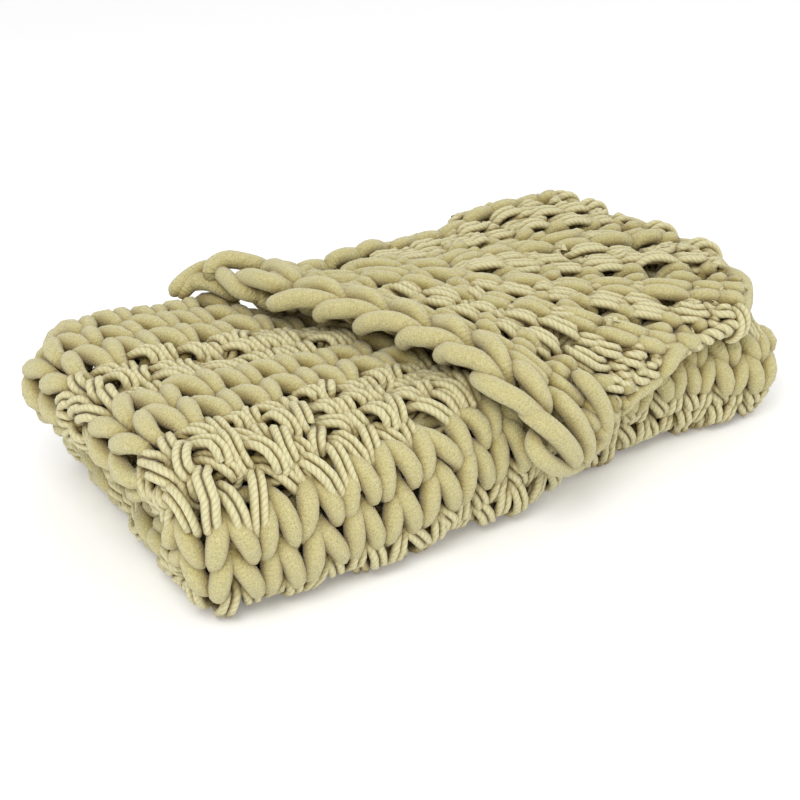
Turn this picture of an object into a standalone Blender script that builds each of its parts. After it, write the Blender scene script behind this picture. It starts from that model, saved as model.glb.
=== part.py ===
# Chunky knit blanket, folded into a stack with one corner turned back over the top.
# One knitted piece: stockinette stripes of thick chenille yarn and of doubled thin cord.
# The knit is a single sheet. It is folded in half at the left end, folded again along the
# front, and its far end turns over at the back and falls diagonally across the front.
# Metres, +Z up, X along the stack, front towards -Y. The origin is under the middle.

import bpy
import bmesh
import numpy as np

# Rows of knitting, along the yarn's way up the blanket
CHENILLE_ROW = 0.033
CORD_ROW = 0.019
CHAIN_ROW = 0.030
STACK_ROWS = (  # kind, rows: from the cast-on edge, underneath, to the back of the top
    ("cord", 2), ("chenille", 2), ("cord", 3), ("chenille", 2), ("cord", 3),
    ("chenille", 2), ("cord", 4), ("chenille", 2), ("cord", 3), ("chenille", 2),
)
TURN_ROWS = (("chenille", 2),)
FLAP_ROWS = (  # kind, rows: from the back turn to the bind-off edge
    ("cord", 4), ("chenille", 2), ("cord", 4), ("chenille", 2), ("cord", 2),
    ("chenille", 2), ("cord", 3), ("chenille", 2), ("chain", 1),
)
ROW_LENGTH = {"chenille": CHENILLE_ROW, "cord": CORD_ROW, "chain": CHAIN_ROW}
ROW_THICKNESS = {"chenille": 0.026, "cord": 0.019, "chain": 0.030}
ROW_STEPS = {"chenille": 2, "cord": 1, "chain": 2}

# The folded section, in the YZ plane, at the left end's full height
FULL_HEIGHT = 0.136
LEAF_HALF = 0.0135
OUTER_BEND = 0.054
UNIT_BEND = 0.035
BEND_HEIGHT = 0.065
LOWER_HALF_GAP = 0.016
UPPER_HALF_GAP = 0.022
TURN_LENGTH = 0.056
DROP_ANGLE = -1.75
FLAP_CLEARANCE = 0.0075
FRONT_WRAP = 2.2
LOWER_SQUARE = 0.36
UPPER_SQUARE = 0.85
BEND_SAMPLES = 91
BACK_START = 0.13
BACK_REACH = 0.13
SAG_SHARE = 0.80
INNER_THINNING = 0.30

# Along the stack: the top's height, the front and back edges, and how far the rows drift
LENGTHWISE = (  # x, height, front, back, drift
    (-0.020, 0.147, -0.002, 0.280, -0.010),
    (0.050, 0.147, -0.018, 0.286, -0.006),
    (0.160, 0.138, -0.023, 0.290, 0.012),
    (0.290, 0.126, -0.019, 0.286, 0.036),
    (0.380, 0.116, 0.006, 0.280, 0.034),
    (0.470, 0.109, 0.007, 0.274, 0.022),
    (0.620, 0.098, -0.004, 0.268, 0.008),
)
HINGE = (  # x, y of the back turn's start, how far the top sags there, how much the back is pressed
    (0.000, 0.262, 0.000, 0.00),
    (0.150, 0.262, 0.000, 0.02),
    (0.210, 0.256, 0.008, 0.06),
    (0.265, 0.254, 0.014, 0.06),
    (0.320, 0.253, 0.013, 0.02),
    (0.400, 0.262, 0.011, 0.05),
    (0.480, 0.272, 0.003, 0.01),
    (0.580, 0.262, 0.000, 0.00),
)

# The ends of the stack
LEFT_LOW = 0.016
LEFT_HIGH = -0.021
RIGHT = 0.622
RIGHT_CURL = 0.046
RIGHT_CURL_ANGLE = 1.35
RIGHT_TUCK = 2.5
RIGHT_FLARE = 0.024
RIGHT_DRAW = 0.050
DRAW_REACH = 0.16
FLAT_REACH = 0.10
INNER_SHORT = 0.085

# The turned corner, in plan: x, and distance over the top measured towards the back
SELVAGE = (  # x, d, from the back turn to the corner
    (0.548, 0.262),
    (0.586, 0.196),
    (0.600, 0.132),
    (0.596, 0.078),
    (0.568, 0.024),
    (0.520, 0.004),
    (0.454, -0.012),
    (0.396, -0.040),
    (0.346, -0.074),
)
BIND_OFF = (  # x, d, from the corner to the tip
    (0.346, -0.074),
    (0.304, -0.050),
    (0.280, -0.018),
    (0.267, 0.034),
    (0.249, 0.088),
    (0.221, 0.141),
    (0.189, 0.190),
    (0.162, 0.236),
)
TIP_X = 0.190
TIP_THICKNESS = 0.0135
SETTLE_SHARE = 0.15
SETTLE_TIP = 0.7

# Grid steps
CURL_STEPS = 4
TURNED_STEPS = 11
DROPPED_STEPS = 5
SLIT_SHARE = 0.014
OUTER_SPAN = RIGHT - RIGHT_CURL - LEFT_HIGH - UPPER_HALF_GAP - LEAF_HALF
TIP_SHARE = (RIGHT - RIGHT_CURL - RIGHT_DRAW - TIP_X) / (OUTER_SPAN - RIGHT_DRAW) - SLIT_SHARE / 2
END_STEPS = 7
INNER_STEPS = 9

BASE_FLAT = 0.007
YARN_COLOUR = (0.53, 0.47, 0.25, 1.0)
YARN_ROUGHNESS = 0.95
CENTRE = (0.2975, 0.1323)


def smooth(t):
    """Ease from 0 to 1."""
    t = np.clip(t, 0.0, 1.0)
    return t * t * (3.0 - 2.0 * t)


def column(table, x, index):
    """A table's column at x, eased between its rows."""
    knots = np.array([row[0] for row in table])
    values = np.array([row[index] for row in table])
    step = np.clip(np.searchsorted(knots, x) - 1, 0, len(knots) - 2)
    share = smooth((x - knots[step]) / (knots[step + 1] - knots[step]))
    return values[step] + (values[step + 1] - values[step]) * share


def along(points, share):
    """A smooth curve through points, at shares 0 to 1 of its length."""
    points = np.array(points)
    ahead = np.vstack([2 * points[0] - points[1], points, 2 * points[-1] - points[-2]])
    lengths = np.linalg.norm(np.diff(points, axis=0), axis=1)
    knots = np.concatenate([[0.0], np.cumsum(lengths)]) / lengths.sum()
    share = np.clip(share, 0.0, 1.0)
    i = np.clip(np.searchsorted(knots, share, side="right") - 1, 0, len(points) - 2)
    t = ((share - knots[i]) / (knots[i + 1] - knots[i]))[..., None]
    a, b, c, d = ahead[i], ahead[i + 1], ahead[i + 2], ahead[i + 3]
    return b + 0.5 * t * (c - a + t * (2 * a - 5 * b + 4 * c - d + t * (3 * (b - c) + d - a)))


def rows_length(rows):
    return sum(ROW_LENGTH[kind] * count for kind, count in rows)


STACK_LENGTH = rows_length(STACK_ROWS)
FLAP_LENGTH = rows_length(FLAP_ROWS)


def scale_at(x):
    """How much the stack is pressed down at x."""
    return column(LENGTHWISE, x, 1) / FULL_HEIGHT


def pressed(x, y):
    """The same at x and y: the back of the pile lies flatter in places."""
    back = smooth((y - BACK_START) / BACK_REACH)
    return scale_at(x) * (1.0 - column(HINGE, x, 3) * back)


def bend_centre(x):
    return column(LENGTHWISE, x, 2) + LEAF_HALF + OUTER_BEND


def even_angle(angle, square):
    """The angle at which a squared quarter bend has run the same share of its length."""
    turn = np.linspace(0.0, np.pi / 2, BEND_SAMPLES)
    outline = np.stack([np.sin(turn) ** square, np.cos(turn) ** square], axis=-1)
    run = np.concatenate([[0.0], np.cumsum(np.linalg.norm(np.diff(outline, axis=0), axis=1))])
    return np.interp(angle, run / run[-1] * np.pi / 2, turn)


def squared(angle, side):
    """An angle of the bend and its squareness: square outside, round on the inner leaf."""
    lower = angle < np.pi / 2
    corner = np.where(lower, LOWER_SQUARE, UPPER_SQUARE)
    upper_angle = np.pi / 2 + even_angle(angle - np.pi / 2, UPPER_SQUARE)
    even = np.where(lower, even_angle(angle, LOWER_SQUARE), upper_angle)
    outside = (1.0 + side) / 2
    return angle + (even - angle) * outside, 1.0 - (1.0 - corner) * outside


def folded(x, p, side):
    """The doubled cloth's section: side is 1 on the outer leaf and -1 on the inner one."""
    centre = bend_centre(x)
    bottom = column(LENGTHWISE, x, 3) - LEAF_HALF - centre
    bend = np.pi * OUTER_BEND
    top = column(HINGE, x, 1) - centre
    share = p / STACK_LENGTH
    drift = column(LENGTHWISE, x, 4) * np.sin(np.pi * np.clip(share, 0.0, 1.0)) ** 2
    s = share * (bottom + bend + top) + drift
    angle = np.clip((s - bottom) / OUTER_BEND, 0.0, np.pi)
    straight = np.where(s < bottom, bottom - s, np.maximum(s - bottom - bend, 0.0))
    gap = LOWER_HALF_GAP + (UPPER_HALF_GAP - LOWER_HALF_GAP) * smooth(angle / np.pi)
    reach = UNIT_BEND + side * gap
    angle, square = squared(angle, side)
    forward = np.abs(np.sin(angle)) ** square
    upward = -np.sign(np.cos(angle)) * np.abs(np.cos(angle)) ** square
    sag = column(HINGE, x, 2) * smooth((share - SAG_SHARE) / (1.0 - SAG_SHARE)) * (side > 0)
    y = centre + straight - reach * forward
    z = (BEND_HEIGHT + reach * upward) * pressed(x, y) - sag
    return y, z


def stack_point(column_place, p):
    """Points of a column of the folded stack, and how much of its thickness the cloth keeps.

    column_place is (stretch, share): the stretch of the section and the share of it.
    """
    stretch, share = column_place
    rise = smooth(p / STACK_LENGTH)
    left = LEFT_LOW + (LEFT_HIGH - LEFT_LOW) * rise
    flat = smooth((STACK_LENGTH - p) / FLAT_REACH)
    curl = RIGHT_CURL_ANGLE * flat
    turn_x = left + UPPER_HALF_GAP + LEAF_HALF
    drawn = 1.0 - smooth((STACK_LENGTH - p) / DRAW_REACH)
    curl_x = RIGHT - RIGHT_CURL - RIGHT_DRAW * drawn
    if stretch == "curl":
        angle = curl * (1.0 - share)
        flare = RIGHT_FLARE * (1.0 - flat) * (1.0 - share)
        x = curl_x + (RIGHT_CURL - LEAF_HALF) * np.sin(angle) + flare
        side = 1.0 - RIGHT_TUCK * (1.0 - np.cos(angle))
    elif stretch == "outer":
        x = curl_x + (turn_x - curl_x) * share
        side = np.ones_like(p)
    elif stretch == "end":
        x = turn_x - UPPER_HALF_GAP * np.sin(np.pi * share) * np.ones_like(p)
        side = np.cos(np.pi * share) * np.ones_like(p)
    else:
        x = turn_x + (RIGHT - INNER_SHORT - turn_x) * share
        side = -np.ones_like(p)
    y, z = folded(x, p, side)
    return x, y, z, 1.0 - INNER_THINNING * (1.0 - side) / 2


def turned_over(x, y, z, run):
    """The back turn: bends down left of the tip and right over on its other side."""
    bend = np.where(x > TIP_X, np.pi, DROP_ANGLE)
    radius = TURN_LENGTH / bend
    angle = bend * run / TURN_LENGTH
    return x, y + radius * np.sin(angle), z + radius * (1.0 - np.cos(angle))


def over_top(x, d, lift):
    """Lies on the stack: d runs towards the back, and below the bend's centre over the front."""
    centre = bend_centre(x)
    radius = OUTER_BEND + LEAF_HALF + lift
    angle = np.clip((centre - d) / radius, 0.0, FRONT_WRAP)
    straight = np.maximum(d - centre, 0.0)
    y = centre + straight - radius * np.sin(angle)
    z = (BEND_HEIGHT + OUTER_BEND + LEAF_HALF - radius * (1.0 - np.cos(angle))) * pressed(x, y) + lift
    return x, y, z


def flap_point(u, v, hinge_x, hinge_y):
    """The turned corner: u from its selvage to the tip, v from the back turn to the bind-off."""
    selvage = along(((hinge_x[0], hinge_y[0]),) + SELVAGE[1:], v)
    bind_off = along(BIND_OFF, u)
    corner_a = np.array([hinge_x[0], hinge_y[0]])
    corner_b = np.array([hinge_x[-1], hinge_y[-1]])
    corner_c = np.array(BIND_OFF[0])
    corner_d = np.array(BIND_OFF[-1])
    hinge = np.stack([hinge_x, hinge_y], axis=-1)
    tip = corner_b + (corner_d - corner_b) * v[..., None]
    u = u[..., None]
    v = v[..., None]
    plan = (1 - v) * hinge + v * bind_off + (1 - u) * selvage + u * tip
    plan -= (1 - u) * ((1 - v) * corner_a + v * corner_c) + u * ((1 - v) * corner_b + v * corner_d)
    return over_top(plan[..., 0], plan[..., 1], LEAF_HALF + FLAP_CLEARANCE)


def column_places():
    """The grid's columns: the stretch of the section that each is in, and its share of it."""
    places = [("curl", i / CURL_STEPS) for i in range(CURL_STEPS)]
    places += [("outer", TIP_SHARE * i / TURNED_STEPS) for i in range(TURNED_STEPS + 1)]
    rest = TIP_SHARE + SLIT_SHARE
    places += [("outer", rest + (1.0 - rest) * i / DROPPED_STEPS) for i in range(DROPPED_STEPS)]
    places += [("end", i / END_STEPS) for i in range(END_STEPS)]
    places += [("inner", i / INNER_STEPS) for i in range(INNER_STEPS + 1)]
    return places


def row_lines(rows):
    """Grid lines across rows: distance from the first row, and the cloth's thickness there."""
    edges = []
    start = 0.0
    for kind, count in rows:
        steps = ROW_STEPS[kind] * count
        length = ROW_LENGTH[kind] * count
        edges += [(start + length * i / steps, ROW_THICKNESS[kind]) for i in range(steps)]
        start += length
    edges.append((start, ROW_THICKNESS[rows[-1][0]]))
    return np.array(edges)


def sheet_grid():
    """Every grid point, its thickness, and which faces the cloth has."""
    places = column_places()
    stack = row_lines(STACK_ROWS)
    turn = row_lines(TURN_ROWS)[1:]
    flap = row_lines(FLAP_ROWS)[1:]
    points = np.zeros((len(stack) + len(turn) + len(flap), len(places), 3))
    thick = np.zeros(points.shape[:2])
    for c, place in enumerate(places):
        x, y, z, kept = stack_point(place, stack[:, 0])
        points[:len(stack), c] = np.stack([x, y, z], axis=-1)
        thick[:len(stack), c] = stack[:, 1] * scale_at(x) * kept
    last = points[len(stack) - 1]
    run = turn[:, 0] / turn[-1, 0] * TURN_LENGTH
    for r, distance in enumerate(run):
        x, y, z = turned_over(last[:, 0], last[:, 1], last[:, 2], distance)
        points[len(stack) + r] = np.stack([x, y, z], axis=-1)
        thick[len(stack) + r] = turn[r, 1] * scale_at(x)
    tip = CURL_STEPS + TURNED_STEPS + 1
    outer = tip + DROPPED_STEPS
    hinge = points[len(stack) + len(turn) - 1, :tip]
    u = (hinge[0, 0] - hinge[:, 0]) / (hinge[0, 0] - hinge[-1, 0])
    flat = np.stack(flap_point(u, np.zeros_like(u), last[:tip, 0], last[:tip, 1]), axis=-1)
    for r, (distance, thickness) in enumerate(flap):
        v = np.full_like(u, distance / FLAP_LENGTH)
        spot = np.stack(flap_point(u, v, last[:tip, 0], last[:tip, 1]), axis=-1)
        settle = (1.0 - smooth(v / (SETTLE_SHARE + SETTLE_TIP * u)))[:, None]
        row = len(stack) + len(turn) + r
        points[row, :tip] = spot + (hinge - flat) * settle
        thick[row, :tip] = thickness + (TIP_THICKNESS - thickness) * u ** 2
    faces = np.zeros((len(points) - 1, len(places) - 1), dtype=bool)
    faces[:len(stack) - 1] = True
    faces[:len(stack) + len(turn) - 1, :outer] = True
    faces[:, :tip - 1] = True
    faces[len(stack) - 1:, tip - 1] = False
    return points, thick, faces


def knit_sheet(collection):
    """The whole blanket: a grid bent into the folds, then given its thickness."""
    points, thick, faces = sheet_grid()
    rows, columns = thick.shape
    mesh = bpy.data.meshes.new("knit_sheet_middle")
    build = bmesh.new()
    bmesh.ops.create_grid(build, x_segments=columns - 1, y_segments=rows - 1, size=1.0)
    build.verts.ensure_lookup_table()
    for index, vert in enumerate(build.verts):
        row, place = divmod(index, columns)
        x, y, z = points[row, place]
        vert.co = (x - CENTRE[0], y - CENTRE[1], z)
    place_tag = build.verts.layers.int.new("place")
    for index, vert in enumerate(build.verts):
        vert[place_tag] = index
    spare = []
    for face in build.faces:
        corner = min(vert[place_tag] for vert in face.verts)
        if not faces[divmod(corner, columns)]:
            spare.append(face)
    bmesh.ops.delete(build, geom=spare, context="FACES")
    kept = [vert[place_tag] for vert in build.verts]
    build.to_mesh(mesh)
    build.free()
    middle = bpy.data.objects.new("knit_sheet_middle", mesh)
    collection.objects.link(middle)
    group = middle.vertex_groups.new(name="thickness")
    most = thick.max()
    for vertex, index in enumerate(kept):
        group.add([vertex], float(thick[divmod(index, columns)] / most), "REPLACE")
    shell = middle.modifiers.new("thickness", "SOLIDIFY")
    shell.thickness = most
    shell.offset = 0.0
    shell.vertex_group = group.name
    return middle


def settled(middle, name, collection):
    """The thick cloth as a mesh of its own, flat where it lies on the surface."""
    graph = bpy.context.evaluated_depsgraph_get()
    mesh = bpy.data.meshes.new_from_object(middle.evaluated_get(graph))
    bpy.data.objects.remove(middle)
    for vert in mesh.vertices:
        if vert.co.z < BASE_FLAT:
            vert.co.z = 0.0
    mesh.name = name
    cloth = bpy.data.objects.new(name, mesh)
    collection.objects.link(cloth)
    return cloth


def yarn_material():
    material = bpy.data.materials.new("chenille_and_cord")
    material.use_nodes = True
    shader = material.node_tree.nodes["Principled BSDF"]
    shader.inputs["Base Color"].default_value = YARN_COLOUR
    shader.inputs["Roughness"].default_value = YARN_ROUGHNESS
    shader.inputs["Metallic"].default_value = 0.0
    return material


def main():
    for item in list(bpy.data.objects):
        bpy.data.objects.remove(item)
    collection = bpy.data.collections.new("chunky_knit_blanket")
    bpy.context.scene.collection.children.link(collection)
    cloth = settled(knit_sheet(collection), "knit_blanket", collection)
    cloth.data.materials.clear()
    cloth.data.materials.append(yarn_material())
    cloth.data.shade_smooth()


main()
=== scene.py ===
# Looks of the folded chunky knit blanket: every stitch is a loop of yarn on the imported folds.
# Metres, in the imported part's frame: X along the stack, front towards -Y, +Z up.

import math

import bpy
import numpy as np
from mathutils import Matrix, Vector


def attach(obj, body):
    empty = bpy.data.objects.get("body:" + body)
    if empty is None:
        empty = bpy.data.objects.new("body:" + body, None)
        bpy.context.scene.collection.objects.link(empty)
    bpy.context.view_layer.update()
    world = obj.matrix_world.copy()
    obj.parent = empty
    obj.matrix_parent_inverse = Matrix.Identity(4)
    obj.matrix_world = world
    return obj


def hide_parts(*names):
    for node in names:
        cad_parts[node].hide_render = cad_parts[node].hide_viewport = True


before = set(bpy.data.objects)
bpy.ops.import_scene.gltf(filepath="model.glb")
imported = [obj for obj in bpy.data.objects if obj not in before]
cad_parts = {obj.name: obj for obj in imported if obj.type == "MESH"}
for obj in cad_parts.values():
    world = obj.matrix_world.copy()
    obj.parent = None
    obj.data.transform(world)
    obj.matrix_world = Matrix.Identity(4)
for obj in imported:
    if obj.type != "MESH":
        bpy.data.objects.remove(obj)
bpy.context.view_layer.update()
NODE = "knit_blanket"

# Rows of knitting, as in the part
CHENILLE_ROW = 0.033
CORD_ROW = 0.019
STACK_ROWS = (
    ("cord", 2), ("chenille", 2), ("cord", 3), ("chenille", 2), ("cord", 3),
    ("chenille", 2), ("cord", 4), ("chenille", 2), ("cord", 3), ("chenille", 2),
)
TURN_ROWS = (("chenille", 2),)
FLAP_ROWS = (  # kind, rows, u where they begin to gather under their neighbours, u where they are gone
    ("cord", 4, 0.55, 0.80), ("chenille", 2, 0.60, 0.85), ("cord", 4, 0.40, 0.70),
    ("chenille", 2, 0.45, 0.75), ("cord", 2, 0.35, 0.65), ("chenille", 2, 0.80, 1.10),
    ("cord", 3, 0.45, 0.80), ("chenille", 2, 1.20, 1.60),
)
CHAIN_ROW = 0.030
ROW_LENGTH = {"chenille": CHENILLE_ROW, "cord": CORD_ROW}

# The folded section and the turned corner, as in the part
FULL_HEIGHT = 0.136
LEAF_HALF = 0.0135
OUTER_BEND = 0.054
UNIT_BEND = 0.035
BEND_HEIGHT = 0.065
LOWER_HALF_GAP = 0.016
UPPER_HALF_GAP = 0.022
TURN_LENGTH = 0.056
DROP_ANGLE = -1.75
FLAP_CLEARANCE = 0.0075
FRONT_WRAP = 2.2
LOWER_SQUARE = 0.36
UPPER_SQUARE = 0.85
BEND_SAMPLES = 91
BACK_START = 0.13
BACK_REACH = 0.13
SAG_SHARE = 0.80
SETTLE_SHARE = 0.15
SETTLE_TIP = 0.7
LENGTHWISE = (  # x, height, front, back, drift
    (-0.020, 0.147, -0.002, 0.280, -0.010),
    (0.050, 0.147, -0.018, 0.286, -0.006),
    (0.160, 0.138, -0.023, 0.290, 0.012),
    (0.290, 0.126, -0.019, 0.286, 0.036),
    (0.380, 0.116, 0.006, 0.280, 0.034),
    (0.470, 0.109, 0.007, 0.274, 0.022),
    (0.620, 0.098, -0.004, 0.268, 0.008),
)
HINGE = (  # x, y of the back turn's start, how far the top sags there, how much the back is pressed
    (0.000, 0.262, 0.000, 0.00),
    (0.150, 0.262, 0.000, 0.02),
    (0.210, 0.256, 0.008, 0.06),
    (0.265, 0.254, 0.014, 0.06),
    (0.320, 0.253, 0.013, 0.02),
    (0.400, 0.262, 0.011, 0.05),
    (0.480, 0.272, 0.003, 0.01),
    (0.580, 0.262, 0.000, 0.00),
)
LEFT_LOW = 0.016
LEFT_HIGH = -0.021
RIGHT = 0.622
RIGHT_CURL = 0.046
RIGHT_CURL_ANGLE = 1.35
RIGHT_TUCK = 2.5
RIGHT_FLARE = 0.024
RIGHT_DRAW = 0.050
DRAW_REACH = 0.16
FLAT_REACH = 0.10
INNER_SHORT = 0.085
SELVAGE = (  # x, d, from the back turn to the corner
    (0.548, 0.262),
    (0.586, 0.196),
    (0.600, 0.132),
    (0.596, 0.078),
    (0.568, 0.024),
    (0.520, 0.004),
    (0.454, -0.012),
    (0.396, -0.040),
    (0.346, -0.074),
)
BIND_OFF = (  # x, d, from the corner to the tip
    (0.346, -0.074),
    (0.304, -0.050),
    (0.280, -0.018),
    (0.267, 0.034),
    (0.249, 0.088),
    (0.221, 0.141),
    (0.189, 0.190),
    (0.162, 0.236),
)
TIP_X = 0.190
SLIT_SHARE = 0.014
CENTRE = (0.2975, 0.1323)

# Stitches
WALE = 0.0365
CURL_LENGTH = 0.060
OUTER_LENGTH = RIGHT - RIGHT_CURL - LEFT_HIGH - UPPER_HALF_GAP - LEAF_HALF
END_LENGTH = 0.082
INNER_LENGTH = OUTER_LENGTH - 0.045
LOOP = (  # across the wale, along it, height, girth; from the foot's arc up the first leg to the head
    (-0.500, -0.0190, -0.0105, 0.90),
    (-0.310, -0.0250, -0.0055, 0.78),
    (-0.155, -0.0215, 0.0045, 0.78),
    (-0.200, -0.0080, 0.0090, 1.06),
    (-0.340, 0.0080, 0.0055, 1.06),
    (-0.455, 0.0195, -0.0030, 0.88),
    (-0.300, 0.0275, -0.0100, 0.86),
)
HEAD = (0.0, 0.0295, -0.0115, 0.90)
LEAN = -0.08
CHENILLE_RADIUS = 0.0081
YARNS = {  # radius, shares of the table's length below and above and of its height, steps, sides, unevenness
    "chenille": {
        "radius": CHENILLE_RADIUS, "below": 1.0, "above": 1.0, "height": 1.0,
        "steps": 2, "sides": 10, "uneven": 0.0014, "lean": 0.10,
    },
    "cord": {
        "radius": 0.0037, "below": 0.76, "above": 0.66, "height": 1.15,
        "steps": 2, "sides": 6, "uneven": 0.0028, "lean": 0.20,
    },
}
LONG_BELOW = 1.45
LAST_ABOVE = 0.78
LAST_ABOVE_TURNED = 0.42
FIRST_BELOW_TURNED = 0.50
LAST_CORD_TURNED = 0.55
CHAIN_PITCH = 0.0410
CHAIN_START = 0.0640
CHAIN_LINKS = 6
CHAIN_LIFT = 0.0072
CHAIN_RADIUS = 0.0078
CHAIN_ROLL = 0.25
CHAIN_LINK = (  # across, along, height, girth; from the foot by the corner round the head and back
    (0.0010, 0.0000, -0.0120, 0.70),
    (0.0035, 0.0090, -0.0030, 0.80),
    (0.0065, 0.0190, 0.0050, 1.00),
    (0.0100, 0.0330, 0.0085, 1.10),
    (0.0138, 0.0480, 0.0075, 1.12),
    (0.0158, 0.0600, 0.0035, 1.05),
    (0.0135, 0.0680, -0.0050, 0.92),
    (0.0000, 0.0690, -0.0130, 0.85),
    (-0.0110, 0.0610, -0.0080, 0.90),
    (-0.0138, 0.0530, 0.0010, 1.00),
    (-0.0120, 0.0410, 0.0070, 1.10),
    (-0.0085, 0.0280, 0.0080, 1.08),
    (-0.0050, 0.0150, 0.0030, 0.92),
    (-0.0025, 0.0060, -0.0060, 0.75),
    (-0.0010, 0.0000, -0.0120, 0.70),
)
CHAIN_END = 0.008
CHAIN_END_REACH = 0.075
CORNER_LOOPS = (  # across, along, height, girth: the long leg, the loop round the corner, the edge's arc
    (
        (0.0048, 0.0928, -0.0050, 0.80), (0.0093, 0.0859, 0.0030, 1.05), (0.0105, 0.0747, 0.0070, 1.16),
        (0.0118, 0.0603, 0.0085, 1.18), (0.0141, 0.0433, 0.0075, 1.18), (0.0165, 0.0249, 0.0040, 1.10),
        (0.0175, 0.0080, -0.0060, 0.85),
    ),
    (
        (-0.0200, 0.0731, -0.0080, 0.80), (-0.0160, 0.0652, 0.0010, 1.00), (-0.0112, 0.0502, 0.0050, 1.08),
        (-0.0050, 0.0337, 0.0060, 1.08), (0.0020, 0.0140, 0.0040, 1.06), (0.0140, 0.0040, 0.0005, 1.05),
        (0.0250, 0.0188, -0.0010, 1.02), (0.0310, 0.0410, -0.0005, 1.02), (0.0320, 0.0570, 0.0000, 1.02),
        (0.0275, 0.0670, -0.0020, 0.95), (0.0171, 0.0668, -0.0080, 0.85), (0.0080, 0.0584, -0.0120, 0.80),
    ),
    (
        (-0.0454, 0.0561, -0.0080, 0.80), (-0.0418, 0.0475, 0.0020, 0.98), (-0.0361, 0.0299, 0.0040, 1.02),
        (-0.0278, 0.0121, 0.0030, 1.02), (-0.0160, -0.0030, 0.0000, 1.00), (-0.0030, -0.0110, -0.0040, 0.95),
        (0.0100, -0.0120, -0.0110, 0.85),
    ),
)
TIP_LOOPS = (  # the chain's far end, curled up: the last link's lower leg and its upper leg,
    # the outermost loop, the loop inside it, and two strands down to the leaf below
    (
        (-0.0191, 0.3848, -0.0110, 0.85), (-0.0136, 0.3795, -0.0020, 1.00), (-0.0076, 0.3672, 0.0050, 1.08),
        (-0.0040, 0.3541, 0.0070, 1.10), (-0.0042, 0.3420, 0.0050, 1.05), (-0.0121, 0.3355, -0.0020, 0.92),
        (-0.0217, 0.3336, -0.0100, 0.80),
    ),
    (
        (-0.0406, 0.3717, -0.0120, 0.85), (-0.0376, 0.3674, -0.0030, 0.98), (-0.0361, 0.3592, 0.0020, 1.05),
        (-0.0261, 0.3446, 0.0050, 1.10), (-0.0196, 0.3339, 0.0030, 1.05), (-0.0194, 0.3294, -0.0040, 0.90),
    ),
    (
        (-0.0489, 0.3700, -0.0130, 0.85), (-0.0407, 0.3769, -0.0040, 1.00), (-0.0354, 0.3858, 0.0000, 1.05),
        (-0.0328, 0.3991, 0.0010, 1.08), (-0.0271, 0.4081, -0.0010, 1.05), (-0.0198, 0.4115, -0.0060, 1.00),
        (-0.0215, 0.4075, -0.0140, 0.90),
    ),
    (
        (-0.0378, 0.4159, -0.0160, 0.85), (-0.0200, 0.4009, -0.0070, 0.98), (-0.0080, 0.3879, -0.0050, 1.00),
        (-0.0022, 0.3774, -0.0070, 1.00), (-0.0066, 0.3674, -0.0110, 0.95), (-0.0196, 0.3625, -0.0180, 0.85),
    ),
    (
        (-0.0401, 0.4148, -0.0130, 0.90), (-0.0310, 0.4244, -0.0130, 0.95), (-0.0218, 0.4331, -0.0170, 0.95),
        (-0.0110, 0.4393, -0.0220, 0.95), (-0.0068, 0.4447, -0.0300, 0.90),
    ),
    (
        (-0.0050, 0.4355, -0.0300, 0.85), (-0.0127, 0.4336, -0.0240, 0.98), (-0.0183, 0.4281, -0.0200, 1.05),
        (-0.0198, 0.4164, -0.0180, 1.05), (-0.0182, 0.4036, -0.0190, 1.00), (-0.0191, 0.3948, -0.0240, 0.95),
        (-0.0246, 0.3872, -0.0320, 0.85),
    ),
)
LINK_UNEVEN = 0.0007
SELVAGE_FLOATS = (  # start, end, bow
    (0.0, 0.318, 0.0), (0.350, 0.402, 0.007), (0.396, 0.452, 0.001),
)
SELVAGE_WAVE = 0.075
FLOAT_STEP = 0.006
FLOAT_ACROSS = 0.005
FLOAT_HEIGHT = 0.0035
FLOAT_SWAY = 0.0025
FLOAT_LIFT = 0.0015
FLOAT_SWELL = 0.08
FLOAT_GIRTH = 0.95
SELVAGE_CORDS = (0.288, 0.366)
SELVAGE_TWIST = 0.024
SELVAGE_WRAPS = (0.022, 0.052, 0.125, 0.178, 0.300)
WRAP_ANGLES = (-0.9, 3.9, 18)  # first, last, samples
WRAP_ACROSS = 0.006
WRAP_GAP = 0.0030
WRAP_SLANT = 0.005
CORD_PAIR = 0.0037
REST_GAP = 0.0004
END_ROUNDING = (0.35, 0.72, 0.92)
LAID_SHARE = 0.85
SURFACE_EDGE = 0.03
SEED = 11

# Looks: textures in yarn centimetres or metres, colours from the deeper tone to the lighter one
# Painted shade: the yarns' colour turns darker and browner where strands crowd together, by ambient occlusion
# over this reach and to this power
PAINTED_SHADE_REACH = 0.014
PAINTED_SHADE_POWER = 1.3
PILE_SCALE = 760.0
CLUMP_SCALE = 190.0
RINGS_SCALE = 0.95
RINGS_DEPTH = 0.30
CORD_LAY = 0.46
CORD_LOBES = 4.0
CHENILLE_TONES = ((0.30, (0.50, 0.430, 0.180, 1.0)), (0.66, (0.695, 0.635, 0.325, 1.0)))
# Painted shade: the dark brown mixed into the chenille's colour in its crevices
CHENILLE_PAINTED_SHADE = (0.30, 0.205, 0.035, 1.0)
# Painted shade: the deeper tone falls in the grooves between the cord's strands, the lighter one on their
# crowns
CORD_GROOVE_SHADE_TONES = ((0.0, (0.52, 0.455, 0.225, 1.0)), (0.55, (0.665, 0.620, 0.375, 1.0)))
# Painted shade: the dark brown mixed into the cord's colour in its crevices
CORD_PAINTED_SHADE = (0.25, 0.170, 0.032, 1.0)

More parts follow.
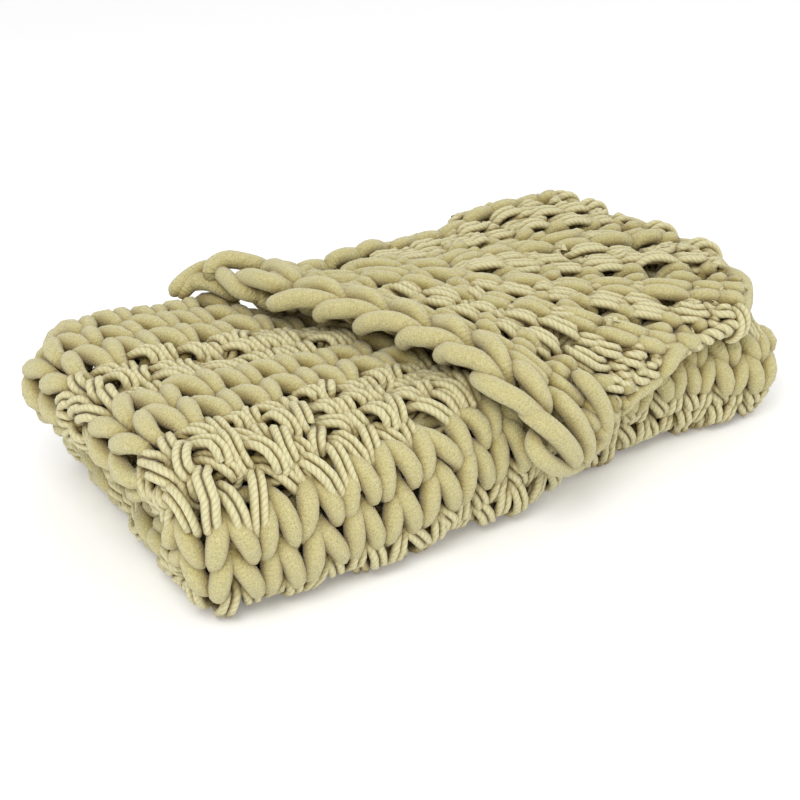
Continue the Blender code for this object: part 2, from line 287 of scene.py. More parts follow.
# The studio: place, size and power of each lamp
SKY = 0.78
KEY = ((-1.1, -1.0, 1.9), 1.3, 26.0)
FILL = ((1.6, -0.9, 1.3), 1.6, 6.0)
FLOOR_SIZE = 12.0
FLOOR_TONE = (0.9, 0.9, 0.9, 1.0)
FLOOR_GLOW = 0.15

# The photograph's view, in its own 800 by 800 pixels
AZIMUTH = -34.0
ELEVATION = 29.0
DISTANCE = 1.479
FOCAL_PIXELS = 1700.0
PICTURE = 800.0
AIM = (-0.0191, -0.0018, 0.0684)
AIM_PIXEL = (406.0, 390.0)


def smooth(t):
    """Ease from 0 to 1."""
    t = np.clip(t, 0.0, 1.0)
    return t * t * (3.0 - 2.0 * t)


def column(table, x, index):
    """A table's column at x, eased between its rows."""
    knots = np.array([row[0] for row in table])
    values = np.array([row[index] for row in table])
    step = np.clip(np.searchsorted(knots, x) - 1, 0, len(knots) - 2)
    share = smooth((x - knots[step]) / (knots[step + 1] - knots[step]))
    return values[step] + (values[step + 1] - values[step]) * share


def along(points, share):
    """A smooth curve through points, at shares 0 to 1 of its length."""
    points = np.array(points)
    ahead = np.vstack([2 * points[0] - points[1], points, 2 * points[-1] - points[-2]])
    lengths = np.linalg.norm(np.diff(points, axis=0), axis=1)
    knots = np.concatenate([[0.0], np.cumsum(lengths)]) / lengths.sum()
    share = np.clip(share, 0.0, 1.0)
    i = np.clip(np.searchsorted(knots, share, side="right") - 1, 0, len(points) - 2)
    t = ((share - knots[i]) / (knots[i + 1] - knots[i]))[..., None]
    a, b, c, d = ahead[i], ahead[i + 1], ahead[i + 2], ahead[i + 3]
    return b + 0.5 * t * (c - a + t * (2 * a - 5 * b + 4 * c - d + t * (3 * (b - c) + d - a)))


STACK_LENGTH = sum(ROW_LENGTH[kind] * count for kind, count in STACK_ROWS)
FLAP_LENGTH = sum(ROW_LENGTH[row[0]] * row[1] for row in FLAP_ROWS) + CHAIN_ROW


def scale_at(x):
    """How much the stack is pressed down at x."""
    return column(LENGTHWISE, x, 1) / FULL_HEIGHT


def pressed(x, y):
    """The same at x and y: the back of the pile lies flatter in places."""
    back = smooth((y - BACK_START) / BACK_REACH)
    return scale_at(x) * (1.0 - column(HINGE, x, 3) * back)


def bend_centre(x):
    return column(LENGTHWISE, x, 2) + LEAF_HALF + OUTER_BEND


def even_angle(angle, square):
    """The angle at which a squared quarter bend has run the same share of its length."""
    turn = np.linspace(0.0, np.pi / 2, BEND_SAMPLES)
    outline = np.stack([np.sin(turn) ** square, np.cos(turn) ** square], axis=-1)
    run = np.concatenate([[0.0], np.cumsum(np.linalg.norm(np.diff(outline, axis=0), axis=1))])
    return np.interp(angle, run / run[-1] * np.pi / 2, turn)


def squared(angle, side):
    """An angle of the bend and its squareness: square outside, round on the inner leaf."""
    lower = angle < np.pi / 2
    corner = np.where(lower, LOWER_SQUARE, UPPER_SQUARE)
    upper_angle = np.pi / 2 + even_angle(angle - np.pi / 2, UPPER_SQUARE)
    even = np.where(lower, even_angle(angle, LOWER_SQUARE), upper_angle)
    outside = (1.0 + side) / 2
    return angle + (even - angle) * outside, 1.0 - (1.0 - corner) * outside


def folded(x, p, side):
    """The doubled cloth's section: side is 1 on the outer leaf and -1 on the inner one."""
    centre = bend_centre(x)
    bottom = column(LENGTHWISE, x, 3) - LEAF_HALF - centre
    bend = np.pi * OUTER_BEND
    top = column(HINGE, x, 1) - centre
    share = p / STACK_LENGTH
    drift = column(LENGTHWISE, x, 4) * np.sin(np.pi * np.clip(share, 0.0, 1.0)) ** 2
    s = share * (bottom + bend + top) + drift
    angle = np.clip((s - bottom) / OUTER_BEND, 0.0, np.pi)
    straight = np.where(s < bottom, bottom - s, np.maximum(s - bottom - bend, 0.0))
    gap = LOWER_HALF_GAP + (UPPER_HALF_GAP - LOWER_HALF_GAP) * smooth(angle / np.pi)
    reach = UNIT_BEND + side * gap
    angle, square = squared(angle, side)
    forward = np.abs(np.sin(angle)) ** square
    upward = -np.sign(np.cos(angle)) * np.abs(np.cos(angle)) ** square
    sag = column(HINGE, x, 2) * smooth((share - SAG_SHARE) / (1.0 - SAG_SHARE)) * (side > 0)
    y = centre + straight - reach * forward
    z = (BEND_HEIGHT + reach * upward) * pressed(x, y) - sag
    return y, z


def stack_place(q, p):
    """x and side of the folded stack: q runs from the outer leaf's selvage to the inner leaf's."""
    rise = smooth(p / STACK_LENGTH)
    left = LEFT_LOW + (LEFT_HIGH - LEFT_LOW) * rise
    flat = smooth((STACK_LENGTH - p) / FLAT_REACH)
    turn_x = left + UPPER_HALF_GAP + LEAF_HALF
    drawn = 1.0 - smooth((STACK_LENGTH - p) / DRAW_REACH)
    curl_x = RIGHT - RIGHT_CURL - RIGHT_DRAW * drawn
    share = np.clip(q / CURL_LENGTH, 0.0, 1.0)
    angle = RIGHT_CURL_ANGLE * flat * (1.0 - share)
    flare = RIGHT_FLARE * (1.0 - flat) * (1.0 - share)
    x_curl = curl_x + (RIGHT_CURL - LEAF_HALF) * np.sin(angle) + flare
    side_curl = 1.0 - RIGHT_TUCK * (1.0 - np.cos(angle))
    share = np.clip((q - CURL_LENGTH) / OUTER_LENGTH, 0.0, 1.0)
    x_outer = curl_x + (turn_x - curl_x) * share
    share = np.clip((q - CURL_LENGTH - OUTER_LENGTH) / END_LENGTH, 0.0, 1.0)
    x_end = turn_x - UPPER_HALF_GAP * np.sin(np.pi * share)
    side_end = np.cos(np.pi * share)
    start = CURL_LENGTH + OUTER_LENGTH + END_LENGTH
    share = np.clip((q - start) / INNER_LENGTH, 0.0, 1.0)
    x_inner = turn_x + (RIGHT - INNER_SHORT - turn_x) * share
    stretch = [q < CURL_LENGTH, q < CURL_LENGTH + OUTER_LENGTH, q < start]
    x = np.select(stretch, [x_curl, x_outer, x_end], x_inner)
    side = np.select(stretch, [side_curl, np.ones_like(x), side_end], -np.ones_like(x))
    return x, side


def over_top(x, d, lift):
    """Lies on the stack: d runs towards the back, and below the bend's centre over the front."""
    centre = bend_centre(x)
    radius = OUTER_BEND + LEAF_HALF + lift
    angle = np.clip((centre - d) / radius, 0.0, FRONT_WRAP)
    straight = np.maximum(d - centre, 0.0)
    y = centre + straight - radius * np.sin(angle)
    z = (BEND_HEIGHT + OUTER_BEND + LEAF_HALF - radius * (1.0 - np.cos(angle))) * pressed(x, y) + lift
    return np.stack([x, y, z], axis=-1)


def hinge_point(q):
    """Where the outer leaf reaches the back turn."""
    x, side = stack_place(q, np.full_like(q, STACK_LENGTH))
    y, z = folded(x, np.full_like(q, STACK_LENGTH), side)
    return np.stack([x, y, z], axis=-1)


def turned_over(q, run, dropped):
    """The back turn: bends down left of the tip and right over on its other side."""
    start = hinge_point(q)
    bend = DROP_ANGLE if dropped else math.pi
    radius = TURN_LENGTH / bend
    angle = bend * run / TURN_LENGTH
    return start + np.stack([0 * q, radius * np.sin(angle), radius * (1.0 - np.cos(angle))], axis=-1)


TIP_SHARE = (RIGHT - RIGHT_CURL - RIGHT_DRAW - TIP_X) / (OUTER_LENGTH - RIGHT_DRAW)
TIP_Q = CURL_LENGTH + OUTER_LENGTH * (TIP_SHARE - SLIT_SHARE / 2)


def gathered(u, share):
    """v of the turned corner's rows where some of them gather under their neighbours."""
    lengths = []
    starts = []
    ends = []
    for kind, count, start, end in FLAP_ROWS:
        lengths += [ROW_LENGTH[kind]] * count
        starts += [start] * count
        ends += [end] * count
    lengths = np.array(lengths + [CHAIN_ROW])
    starts = np.array(starts + [2.0])
    ends = np.array(ends + [3.0])
    kept = 1.0 - smooth((u[..., None] - starts) / (ends - starts))
    edges = np.cumsum(lengths * kept, axis=-1)
    edges = np.concatenate([np.zeros(u.shape + (1,)), edges], axis=-1) / edges[..., -1:]
    natural = np.concatenate([[0.0], np.cumsum(lengths)]) / lengths.sum()
    row = np.clip(np.searchsorted(natural, share, side="right") - 1, 0, len(lengths) - 1)
    part = (share - natural[row]) / (natural[row + 1] - natural[row])
    low = np.take_along_axis(edges, row[..., None], axis=-1)[..., 0]
    high = np.take_along_axis(edges, row[..., None] + 1, axis=-1)[..., 0]
    return low + (high - low) * part


def flap_point(q, r):
    """The turned corner: q from its selvage to the tip, r onwards from the back turn."""
    tip = hinge_point(np.array([TIP_Q]))[0]
    corner = hinge_point(np.array([0.0]))[0]
    hinge = hinge_point(q)
    u = (corner[0] - hinge[..., 0]) / (corner[0] - tip[0])
    v = gathered(np.clip(u, 0.0, 1.0), np.clip(r / FLAP_LENGTH, 0.0, 1.0))
    selvage = along(((corner[0], corner[1]),) + SELVAGE[1:], v)
    bind_off = along(BIND_OFF, u)
    corner_c = np.array(BIND_OFF[0])
    corner_d = np.array(BIND_OFF[-1])
    side = tip[:2] + (corner_d - tip[:2]) * v[..., None]
    uu = u[..., None]
    vv = v[..., None]
    plan = (1 - vv) * hinge[..., :2] + vv * bind_off + (1 - uu) * selvage + uu * side
    plan -= (1 - uu) * ((1 - vv) * corner[:2] + vv * corner_c) + uu * ((1 - vv) * tip[:2] + vv * corner_d)
    lift = LEAF_HALF + FLAP_CLEARANCE
    spot = over_top(plan[..., 0], plan[..., 1], lift)
    over = turned_over(q, np.full_like(q, TURN_LENGTH), False)
    rest = over_top(hinge[..., 0], hinge[..., 1], lift)
    settle = (1.0 - smooth(v / (SETTLE_SHARE + SETTLE_TIP * u)))[..., None]
    return spot + (over - rest) * settle


def sheet(q, r, dropped):
    """A point of the blanket's middle surface, in the stack's own X and Y."""
    x, side = stack_place(q, np.minimum(r, STACK_LENGTH))
    y, z = folded(x, np.minimum(r, STACK_LENGTH), side)
    point = np.stack([x, y, z], axis=-1)
    natural = sum(ROW_LENGTH[kind] * count for kind, count in TURN_ROWS)
    run = (r - STACK_LENGTH) / natural * TURN_LENGTH
    turned = turned_over(q, np.clip(run, 0.0, TURN_LENGTH), dropped)
    point = np.where((r > STACK_LENGTH)[..., None], turned, point)
    if not dropped:
        flap = flap_point(q, np.maximum(r - STACK_LENGTH - natural, 0.0))
        point = np.where((r > STACK_LENGTH + natural)[..., None], flap, point)
    return point


class Surface:
    """The middle surface sampled on a grid, softened, with its outward normals."""

    STEP = 0.006

    def __init__(self, q_range, r_range, dropped):
        self.q0, self.r0 = q_range[0], r_range[0]
        q = np.arange(q_range[0], q_range[1] + self.STEP, self.STEP)
        r = np.arange(r_range[0], r_range[1] + self.STEP, self.STEP)
        grid_q, grid_r = np.meshgrid(q, r, indexing="ij")
        self.points = self.soften(sheet(grid_q, grid_r, dropped))
        along_q = np.gradient(self.points, axis=0)
        along_r = np.gradient(self.points, axis=1)
        normal = np.cross(along_r, along_q)
        length = np.maximum(np.linalg.norm(normal, axis=-1, keepdims=True), 1e-12)
        self.normals = self.soften(normal / length)

    @staticmethod
    def soften(values):
        for _ in range(2):
            values = values.copy()
            values[1:-1] = (values[:-2] + 2 * values[1:-1] + values[2:]) / 4
            values[:, 1:-1] = (values[:, :-2] + 2 * values[:, 1:-1] + values[:, 2:]) / 4
        return values

    def read(self, values, q, r):
        i = np.clip((q - self.q0) / self.STEP, 0, values.shape[0] - 1.001)
        j = np.clip((r - self.r0) / self.STEP, 0, values.shape[1] - 1.001)
        i0, j0 = i.astype(int), j.astype(int)
        a, b = (i - i0)[..., None], (j - j0)[..., None]
        low = values[i0, j0] * (1 - b) + values[i0, j0 + 1] * b
        high = values[i0 + 1, j0] * (1 - b) + values[i0 + 1, j0 + 1] * b
        return low * (1 - a) + high * a

    def at(self, q, r):
        point = self.read(self.points, q, r)
        normal = self.read(self.normals, q, r)
        return point, normal / np.linalg.norm(normal, axis=-1, keepdims=True)


def tube(path, normal, radius, sides, flat=1.0):
    """One closed tube along a path: points, faces and UVs, u in centimetres along the yarn."""
    count = len(path)
    tangent = np.gradient(path, axis=0)
    tangent /= np.maximum(np.linalg.norm(tangent, axis=1, keepdims=True), 1e-12)
    across = np.cross(tangent, normal)
    across /= np.maximum(np.linalg.norm(across, axis=1, keepdims=True), 1e-12)
    upright = np.cross(across, tangent)
    turn = np.arange(sides) * 2 * math.pi / sides
    radius = np.broadcast_to(radius, (count,))[:, None, None]
    ring = np.cos(turn)[None, :, None] * across[:, None] + flat * np.sin(turn)[None, :, None] * upright[:, None]
    points = (path[:, None] + ring * radius).reshape(-1, 3)
    i = np.arange(count - 1)[:, None] * sides
    j = np.arange(sides)[None, :]
    k = (j + 1) % sides
    quads = np.stack([i + j, i + k, i + sides + k, i + sides + j], axis=-1).reshape(-1, 4)
    length = np.concatenate([[0.0], np.cumsum(np.linalg.norm(np.diff(path, axis=0), axis=1))]) * 100
    low, high = length[:-1, None] + 0 * j, length[1:, None] + 0 * j
    start, end = j / sides + 0 * low, (j + 1) / sides + 0 * low
    uv = np.stack([low, start, low, end, high, end, high, start], axis=-1).reshape(-1, 4, 2)
    return points, quads, uv


class Yarns:
    """Collects tubes into one mesh object."""

    def __init__(self, name):
        self.name = name
        self.points = []
        self.quads = []
        self.uvs = []
        self.caps = []
        self.total = 0

    def add(self, path, normal, radius, sides, flat=1.0):
        taper = rounded_ends(path, radius)
        points, quads, uv = tube(path, normal, taper, sides, flat)
        self.points.append(points)
        self.quads.append(quads + self.total)
        self.uvs.append(uv)
        first = self.total + np.arange(sides)
        last = self.total + (len(path) - 1) * sides + np.arange(sides)
        self.caps += [first[::-1], last]
        self.total += len(points)

    def build(self, material):
        points = np.concatenate(self.points)
        points[:, 0] -= CENTRE[0]
        points[:, 1] -= CENTRE[1]
        points[:, 2] = np.maximum(points[:, 2], REST_GAP)
        quads = np.concatenate(self.quads)
        caps = np.concatenate(self.caps)
        cap_sizes = np.array([len(cap) for cap in self.caps])
        sizes = np.concatenate([np.full(len(quads), 4), cap_sizes])
        corners = np.concatenate([quads.reshape(-1), caps])
        uvs = np.concatenate([np.concatenate(self.uvs).reshape(-1, 2), np.zeros((len(caps), 2))])
        mesh = bpy.data.meshes.new(self.name)
        mesh.vertices.add(len(points))
        mesh.vertices.foreach_set("co", points.astype(np.float32).reshape(-1))
        mesh.loops.add(len(corners))
        mesh.loops.foreach_set("vertex_index", corners.astype(np.int32))
        mesh.polygons.add(len(sizes))
        starts = np.concatenate([[0], np.cumsum(sizes)[:-1]])
        mesh.polygons.foreach_set("loop_start", starts.astype(np.int32))
        mesh.update(calc_edges=True)
        layer = mesh.uv_layers.new(name="yarn")
        layer.data.foreach_set("uv", uvs.astype(np.float32).reshape(-1))
        mesh.validate()
        mesh.shade_smooth()
        mesh.materials.append(material)
        piece = bpy.data.objects.new(self.name, mesh)
        bpy.context.scene.collection.objects.link(piece)
        return piece


def rounded_ends(path, radius):
    """The tube's radius, drawn in at both ends."""
    taper = np.ones(len(path)) * radius
    for i, share in enumerate(END_ROUNDING):
        taper[i] *= share
        taper[-1 - i] *= share
    return taper


def loop_table():
    """Across, along, height and girth of one whole loop, from its foot's arc to the next one."""
    rising = list(LOOP)
    falling = [(-row[0],) + row[1:] for row in reversed(LOOP[1:])]
    return np.array(rising + [HEAD] + falling)


def softened(values, steps):
    """A smooth curve through every value, with steps samples between two of them."""
    ahead = np.vstack([2 * values[0] - values[1], values, 2 * values[-1] - values[-2]])
    t = (np.arange(steps) / steps)[None, :, None]
    a, b, c, d = (ahead[i:len(ahead) - 3 + i][:, None] for i in range(4))
    curve = b + 0.5 * t * (c - a + t * (2 * a - 5 * b + 4 * c - d + t * (3 * (b - c) + d - a)))
    return np.vstack([curve.reshape(-1, values.shape[1]), values[-1:]])


def row_path(yarn, q0, wales, r0, pitch, below, above, random):
    """q, r, height and girth of one course of loops, sample by sample."""
    table = loop_table()
    size = len(table)
    loops = np.tile(table, (wales, 1))
    number = np.repeat(np.arange(wales), size)
    growth = (1.0 + random.normal(0.0, 0.05, wales))[number]
    lean = LEAN + random.normal(0.0, yarn["lean"], wales)[number]
    place = random.normal(0.0, yarn["uneven"], (wales, 3))[number]
    fine = random.normal(0.0, yarn["uneven"] * 0.35, (len(loops), 3))
    reach = np.where(loops[:, 1] < 0, below, above)
    rise = loops[:, 1] * reach * growth
    q = q0 + (number + 0.5 + loops[:, 0]) * WALE - lean * rise
    r = r0 + pitch * 0.5 + rise
    spots = np.stack([q, r, loops[:, 2] * yarn["height"]], axis=1) + place + fine
    values = softened(np.column_stack([spots, loops[:, 3]]), yarn["steps"])
    return values[:, 0], values[:, 1], values[:, 2], values[:, 3]


def lay(surface, q, r, high):
    point, normal = surface.at(q, r)
    return point + normal * high[:, None], normal


def knit_row(yarns, surface, course, q0, wales, r0, random):
    """One course: one chenille tube, or two cords side by side."""
    yarn = YARNS[course["kind"]]
    below = yarn["below"] * course["below"]
    above = yarn["above"] * course["above"]
    q, r, high, girth = row_path(yarn, q0, wales, r0, course["pitch"], below, above, random)
    path, normal = lay(surface, q, r, high)
    if course["kind"] == "chenille":
        yarns.add(path, normal, yarn["radius"] * girth, yarn["sides"])
        return
    tangent = np.gradient(path, axis=0)
    across = np.cross(tangent, normal)
    across /= np.maximum(np.linalg.norm(across, axis=1, keepdims=True), 1e-12)
    for sign in (-1, 1):
        yarns.add(path + across * CORD_PAIR * sign, normal, yarn["radius"], yarn["sides"])


class Edge:
    """A line on the surface, read by its length from its start."""

    def __init__(self, surface, q, r, lift):
        point, normal = surface.at(q, r)
        self.points = point - normal * lift
        self.normals = -normal
        steps = np.linalg.norm(np.diff(self.points, axis=0), axis=1)
        self.lengths = np.concatenate([[0.0], np.cumsum(steps)])
        self.length = self.lengths[-1]

    def read(self, values, place):
        return np.stack([np.interp(place, self.lengths, values[:, i]) for i in range(3)], axis=-1)

    def at(self, place):
        """Point, direction and normal, running straight on past either end."""
        step = 0.004
        low = self.read(self.points, np.clip(place - step, 0.0, self.length - step))
        high = self.read(self.points, np.clip(place + step, step, self.length))
        tangent = (high - low) / np.linalg.norm(high - low, axis=-1, keepdims=True)
        over = np.minimum(place, 0.0) + np.maximum(place - self.length, 0.0)
        point = self.read(self.points, place) + tangent * over[..., None]
        normal = self.read(self.normals, place)
        return point, tangent, normal / np.linalg.norm(normal, axis=-1, keepdims=True)


def edge_tube(yarns, edge, table, place, radius, roll=0.0, lifted=0.0):
    """A tube given across an edge, along it from place, and over it."""
    point, tangent, normal = edge.at(place + table[:, 1])
    raised = CHAIN_END * smooth((place + table[:, 1] - edge.length + CHAIN_END_REACH) / CHAIN_END_REACH)
    point[:, 2] += raised * lifted
    across = np.cross(normal, tangent)
    rolled = normal * math.cos(roll) + across * math.sin(roll)
    outward = across * math.cos(roll) - normal * math.sin(roll)
    path = point + outward * table[:, :1] + rolled * table[:, 2:3]
    yarns.add(path, rolled, radius * table[:, 3], 10)


def bind_off(yarns, surface, random):
    """The chain of links along the corner's loose edge, tips towards the corner."""
    q = np.linspace(0.0, TIP_Q, 120)
    r = np.full_like(q, STACK_LENGTH + CHENILLE_ROW * 2 + FLAP_LENGTH - CHAIN_ROW * 0.4)
    edge = Edge(surface, q, r, CHAIN_LIFT)
    table = np.array(CHAIN_LINK)
    for number in range(CHAIN_LINKS):
        shift = np.column_stack([random.normal(0.0, LINK_UNEVEN, (len(table), 3)), np.zeros(len(table))])
        link = softened(table + shift, 3)
        edge_tube(yarns, edge, link, CHAIN_START + number * CHAIN_PITCH, CHAIN_RADIUS, CHAIN_ROLL, 1.0)
    for loop in CORNER_LOOPS + TIP_LOOPS:
        edge_tube(yarns, edge, softened(np.array(loop), 4), 0.0, CHAIN_RADIUS, CHAIN_ROLL)


def selvage_float(chenille, edge, first, last, bow):
    place = np.linspace(first, last, max(12, int((last - first) / FLOAT_STEP)))
    wave = np.sin(place / SELVAGE_WAVE * 2 * math.pi)
    bowed = bow * np.sin((place - first) / (last - first) * math.pi)
    across = FLOAT_ACROSS + FLOAT_SWAY * wave - bowed
    height = FLOAT_HEIGHT + FLOAT_LIFT * wave + bowed
    girth = 1.0 + FLOAT_SWELL * np.sin(place / SELVAGE_WAVE * 4 * math.pi)
    table = np.column_stack([across, place, height, girth])
    edge_tube(chenille, edge, table, 0.0, CHENILLE_RADIUS * FLOAT_GIRTH)


def selvage_twist(cord, edge, side):
    """One of the two cords that twist round each other between the floats."""
    first, last = SELVAGE_CORDS
    place = np.arange(first, last, 0.0025)
    angle = (place / SELVAGE_TWIST + side) * 2 * math.pi
    share = (place - first) / (last - first)
    across = 0.009 - 0.010 * share + CORD_PAIR * np.cos(angle)
    height = 0.006 + 0.005 * np.sin(share * math.pi) + CORD_PAIR * np.sin(angle)
    table = np.column_stack([across, place, height, np.ones_like(place)])
    edge_tube(cord, edge, table, 0.0, YARNS["cord"]["radius"])


def selvage_wrap(cord, edge, place, shift):
    """One cord over the float, out of the fabric and back into it."""
    angle = np.linspace(*WRAP_ANGLES)
    reach = CHENILLE_RADIUS + WRAP_GAP
    across = WRAP_ACROSS + reach * np.cos(angle)
    height = FLOAT_HEIGHT + reach * np.sin(angle)
    table = np.column_stack([across, shift * 1.1 - WRAP_SLANT * angle, height, np.ones_like(angle)])
    edge_tube(cord, edge, table, place, YARNS["cord"]["radius"])


def selvage(chenille, cord, surface):
    """The chenille floats along the corner's free edge, and the cords beside and over them."""
    start = STACK_LENGTH + 0.050
    r = np.arange(start, STACK_LENGTH + CHENILLE_ROW * 2 + FLAP_LENGTH - 0.06, 0.004)
    edge = Edge(surface, np.zeros_like(r), r, 0.0)
    for first, last, bow in SELVAGE_FLOATS:
        selvage_float(chenille, edge, first, last, bow)
    for side in (0.0, 0.5):
        selvage_twist(cord, edge, side)
    for place in SELVAGE_WRAPS:
        for shift in (-CORD_PAIR, CORD_PAIR):
            selvage_wrap(cord, edge, place, shift)


def courses(rows, last_above=LAST_ABOVE, last_cord=1.0, first_below=1.0):
    """Every course of a stretch of rows; the first cords after chenille reach down over it."""
    for band, row in enumerate(rows):
        for number in range(row[1]):
            thick = row[0] == "chenille"
            below = (first_below if thick else LONG_BELOW) if number == 0 else 1.0
            above = (last_above if thick else last_cord) if number == row[1] - 1 else 1.0
            yield {"kind": row[0], "pitch": ROW_LENGTH[row[0]], "band": band, "below": below, "above": above}


def knit_blanket():
    """Every course of the blanket, in pieces by yarn and by place."""
    random = np.random.default_rng(SEED)
    total_q = CURL_LENGTH + OUTER_LENGTH + END_LENGTH + INNER_LENGTH
    natural = CHENILLE_ROW * 2
    edge = SURFACE_EDGE
    turned = Surface((-edge, total_q), (-edge, STACK_LENGTH + natural + FLAP_LENGTH), False)
    dropped = Surface((TIP_Q - 0.01, total_q), (STACK_LENGTH - 0.15, STACK_LENGTH + natural + edge), True)
    chenille = Yarns("chenille_knit")
    chenille_flap = Yarns("chenille_knit_corner")
    cord_low = Yarns("cord_knit_under")
    cord_high = Yarns("cord_knit_front")
    cord_flap = Yarns("cord_knit_corner")
    wales = int(total_q / WALE)
    r = 0.0
    for course in courses(STACK_ROWS):
        cord = cord_low if course["band"] < 5 else cord_high
        target = chenille if course["kind"] == "chenille" else cord
        knit_row(target, turned, course, 0.0, wales, r, random)
        r += course["pitch"]
    tip_wales = int(TIP_Q / WALE)
    outer = int((CURL_LENGTH + OUTER_LENGTH - TIP_Q) / WALE)
    for course in courses(TURN_ROWS, LAST_ABOVE_TURNED):
        knit_row(chenille_flap, turned, course, 0.0, tip_wales, r, random)
        knit_row(chenille_flap, dropped, course, TIP_Q + 0.005, outer, r, random)
        r += course["pitch"]
    for course in courses(FLAP_ROWS, LAST_ABOVE_TURNED, LAST_CORD_TURNED, FIRST_BELOW_TURNED):
        start, end = FLAP_ROWS[course["band"]][2:]
        share = start + (end - start) * LAID_SHARE
        laid = max(3, min(tip_wales, int(round(share * tip_wales))))
        target = chenille_flap if course["kind"] == "chenille" else cord_flap
        knit_row(target, turned, course, 0.0, laid, r, random)
        r += course["pitch"]
    bind_off(chenille_flap, turned, random)
    selvage(chenille_flap, cord_flap, turned)
    return [chenille, chenille_flap], [cord_low, cord_high, cord_flap]


def fabric_material(name, roughness, sheen):
    material = bpy.data.materials.new(name)
    material.use_nodes = True
    tree = material.node_tree
    shader = tree.nodes["Principled BSDF"]
    shader.inputs["Roughness"].default_value = roughness
    shader.inputs["Specular IOR Level"].default_value = 0.15
    shader.inputs["Sheen Weight"].default_value = sheen
    shader.inputs["Sheen Roughness"].default_value = 0.45
    shader.inputs["Sheen Tint"].default_value = (1.0, 1.0, 0.96, 1.0)
    return material, tree, shader


def math_node(tree, operation, *values):
    """A Math node's output; each value is a number, or a socket to link."""
    node = tree.nodes.new("ShaderNodeMath")
    node.operation = operation
    for slot, value in zip(node.inputs, values):
        if isinstance(value, (int, float)):
            slot.default_value = value
        else:
            tree.links.new(value, slot)
    return node.outputs[0]


def noise(tree, place, scale, detail):
    node = tree.nodes.new("ShaderNodeTexNoise")
    node.inputs["Scale"].default_value = scale
    node.inputs["Detail"].default_value = detail
    tree.links.new(place, node.inputs["Vector"])
    return node


def ramp(tree, share, tones):
    """A colour between two tones, each given as its position and colour."""
    node = tree.nodes.new("ShaderNodeValToRGB")
    for element, (position, colour) in zip(node.color_ramp.elements, tones):
        element.position = position
        element.color = colour
    tree.links.new(share, node.inputs["Fac"])
    return node.outputs["Color"]


def yarn_uv(tree):
    node = tree.nodes.new("ShaderNodeUVMap")
    node.uv_map = "yarn"
    return node.outputs["UV"]


def painted_crevice_shade(tree, colour, shade_tone, shader):
    """The yarn's colour with painted shade: darker and browner where the strands crowd together, by ambient
    occlusion.
    """
    painted_shade_mask = tree.nodes.new("ShaderNodeAmbientOcclusion")
    painted_shade_mask.samples = 6
    painted_shade_mask.inputs["Distance"].default_value = PAINTED_SHADE_REACH
    mix = tree.nodes.new("ShaderNodeMix")
    mix.data_type = "RGBA"
    mix.inputs[6].default_value = shade_tone
    tree.links.new(math_node(tree, "POWER", painted_shade_mask.outputs["AO"], PAINTED_SHADE_POWER), mix.inputs["Factor"])
    tree.links.new(colour, mix.inputs[7])
    tree.links.new(mix.outputs[2], shader.inputs["Base Color"])


def bumped(tree, height, strength, distance, shader):
    node = tree.nodes.new("ShaderNodeBump")
    node.inputs["Strength"].default_value = strength
    node.inputs["Distance"].default_value = distance
    tree.links.new(height, node.inputs["Height"])
    tree.links.new(node.outputs["Normal"], shader.inputs["Normal"])


def chenille_material():
    """Short plush pile, in soft clumps and faint rings round the yarn."""
    material, tree, shader = fabric_material("chenille", 0.95, 0.5)
    place = tree.nodes.new("ShaderNodeTexCoord").outputs["Object"]
    pile = noise(tree, place, PILE_SCALE, 2.0)
    pile.inputs["Roughness"].default_value = 0.65
    clump = noise(tree, place, CLUMP_SCALE, 3.0)
    # Painted shade: the pile's colour darkens and browns in the crevices
    painted_crevice_shade(tree, ramp(tree, pile.outputs["Fac"], CHENILLE_TONES), CHENILLE_PAINTED_SHADE, shader)
    rings = tree.nodes.new("ShaderNodeTexWave")
    rings.bands_direction = "X"
    rings.inputs["Scale"].default_value = RINGS_SCALE
    rings.inputs["Distortion"].default_value = 2.2
    rings.inputs["Detail"].default_value = 2.0
    rings.inputs["Detail Scale"].default_value = 2.5
    tree.links.new(yarn_uv(tree), rings.inputs["Vector"])
    rough = math_node(tree, "ADD", pile.outputs["Fac"], clump.outputs["Fac"])
    height = math_node(tree, "MULTIPLY_ADD", rings.outputs["Fac"], RINGS_DEPTH, rough)
    bumped(tree, height, 0.8, 0.0022, shader)
    return material


def cord_material():
    """Strands laid in a spiral round the cord, with painted shade in the grooves between them."""
    material, tree, shader = fabric_material("twisted_cord", 0.9, 0.25)
    split = tree.nodes.new("ShaderNodeSeparateXYZ")
    tree.links.new(yarn_uv(tree), split.inputs["Vector"])
    turns = math_node(tree, "MULTIPLY", split.outputs["X"], 1.0 / CORD_LAY)
    around = math_node(tree, "MULTIPLY_ADD", split.outputs["Y"], CORD_LOBES, turns)
    phase = math_node(tree, "MULTIPLY", around, math.pi)
    # Painted shade: the cord's colour is deepest in the grooves between its strands; the same lobes give its
    # bumps
    lobe_relief_and_groove_shade = math_node(tree, "ABSOLUTE", math_node(tree, "SINE", phase))
    # Painted shade: the cord's colour darkens and browns in the crevices
    painted_crevice_shade(tree, ramp(tree, lobe_relief_and_groove_shade, CORD_GROOVE_SHADE_TONES), CORD_PAINTED_SHADE, shader)
    bumped(tree, lobe_relief_and_groove_shade, 0.5, 0.0008, shader)
    return material


def view_axes():
    a, e = math.radians(AZIMUTH), math.radians(ELEVATION)
    back = Vector((math.sin(a) * math.cos(e), -math.cos(a) * math.cos(e), math.sin(e)))
    right = Vector((math.cos(a), math.sin(a), 0.0))
    return right, back.cross(right), back


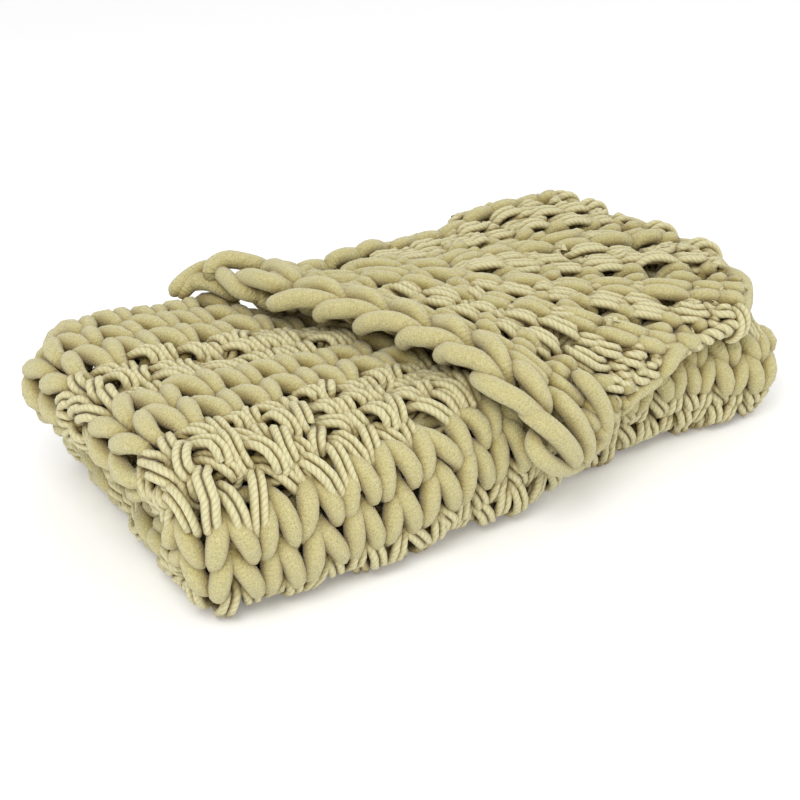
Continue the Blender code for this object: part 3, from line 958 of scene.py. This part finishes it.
def add_camera():
    right, up, back = view_axes()
    data = bpy.data.cameras.new("camera")
    data.sensor_width = 36.0
    data.lens = 36.0 * FOCAL_PIXELS / PICTURE
    data.shift_x = (PICTURE / 2 - AIM_PIXEL[0]) / PICTURE
    data.shift_y = (AIM_PIXEL[1] - PICTURE / 2) / PICTURE
    camera = bpy.data.objects.new("camera", data)
    turn = Matrix((right, up, back)).transposed().to_4x4()
    camera.matrix_world = Matrix.Translation(Vector(AIM) + back * DISTANCE) @ turn
    bpy.context.scene.collection.objects.link(camera)
    bpy.context.scene.camera = camera


def add_area(name, place, size, power):
    data = bpy.data.lights.new(name, "AREA")
    data.shape = "DISK"
    data.size = size
    data.energy = power
    light = bpy.data.objects.new(name, data)
    light.location = place
    light.rotation_euler = (-Vector(place)).to_track_quat("-Z", "Y").to_euler()
    bpy.context.scene.collection.objects.link(light)


def add_studio():
    bpy.context.scene.view_settings.view_transform = "Standard"
    world = bpy.data.worlds.new("studio")
    world.use_nodes = True
    world.node_tree.nodes["Background"].inputs["Color"].default_value = (1.0, 1.0, 1.0, 1.0)
    world.node_tree.nodes["Background"].inputs["Strength"].default_value = SKY
    bpy.context.scene.world = world
    add_area("key", *KEY)
    add_area("fill", *FILL)
    bpy.ops.mesh.primitive_plane_add(size=FLOOR_SIZE, location=(0.0, 0.0, 0.0))
    floor = bpy.context.object
    floor.name = "floor"
    material = bpy.data.materials.new("floor")
    material.use_nodes = True
    shader = material.node_tree.nodes["Principled BSDF"]
    shader.inputs["Base Color"].default_value = FLOOR_TONE
    shader.inputs["Emission Color"].default_value = (1.0, 1.0, 1.0, 1.0)
    shader.inputs["Emission Strength"].default_value = FLOOR_GLOW
    shader.inputs["Roughness"].default_value = 0.9
    floor.data.materials.append(material)


def main():
    add_camera()
    add_studio()
    chenilles, cords = knit_blanket()
    chenille_look = chenille_material()
    pieces = [chenille.build(chenille_look) for chenille in chenilles]
    cord_look = cord_material()
    pieces += [cord.build(cord_look) for cord in cords]
    for piece in pieces:
        print("PIECE", piece.name, sum(len(p.vertices) - 2 for p in piece.data.polygons))
        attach(piece, "root")
        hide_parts(NODE)
    bpy.context.view_layer.update()


main()
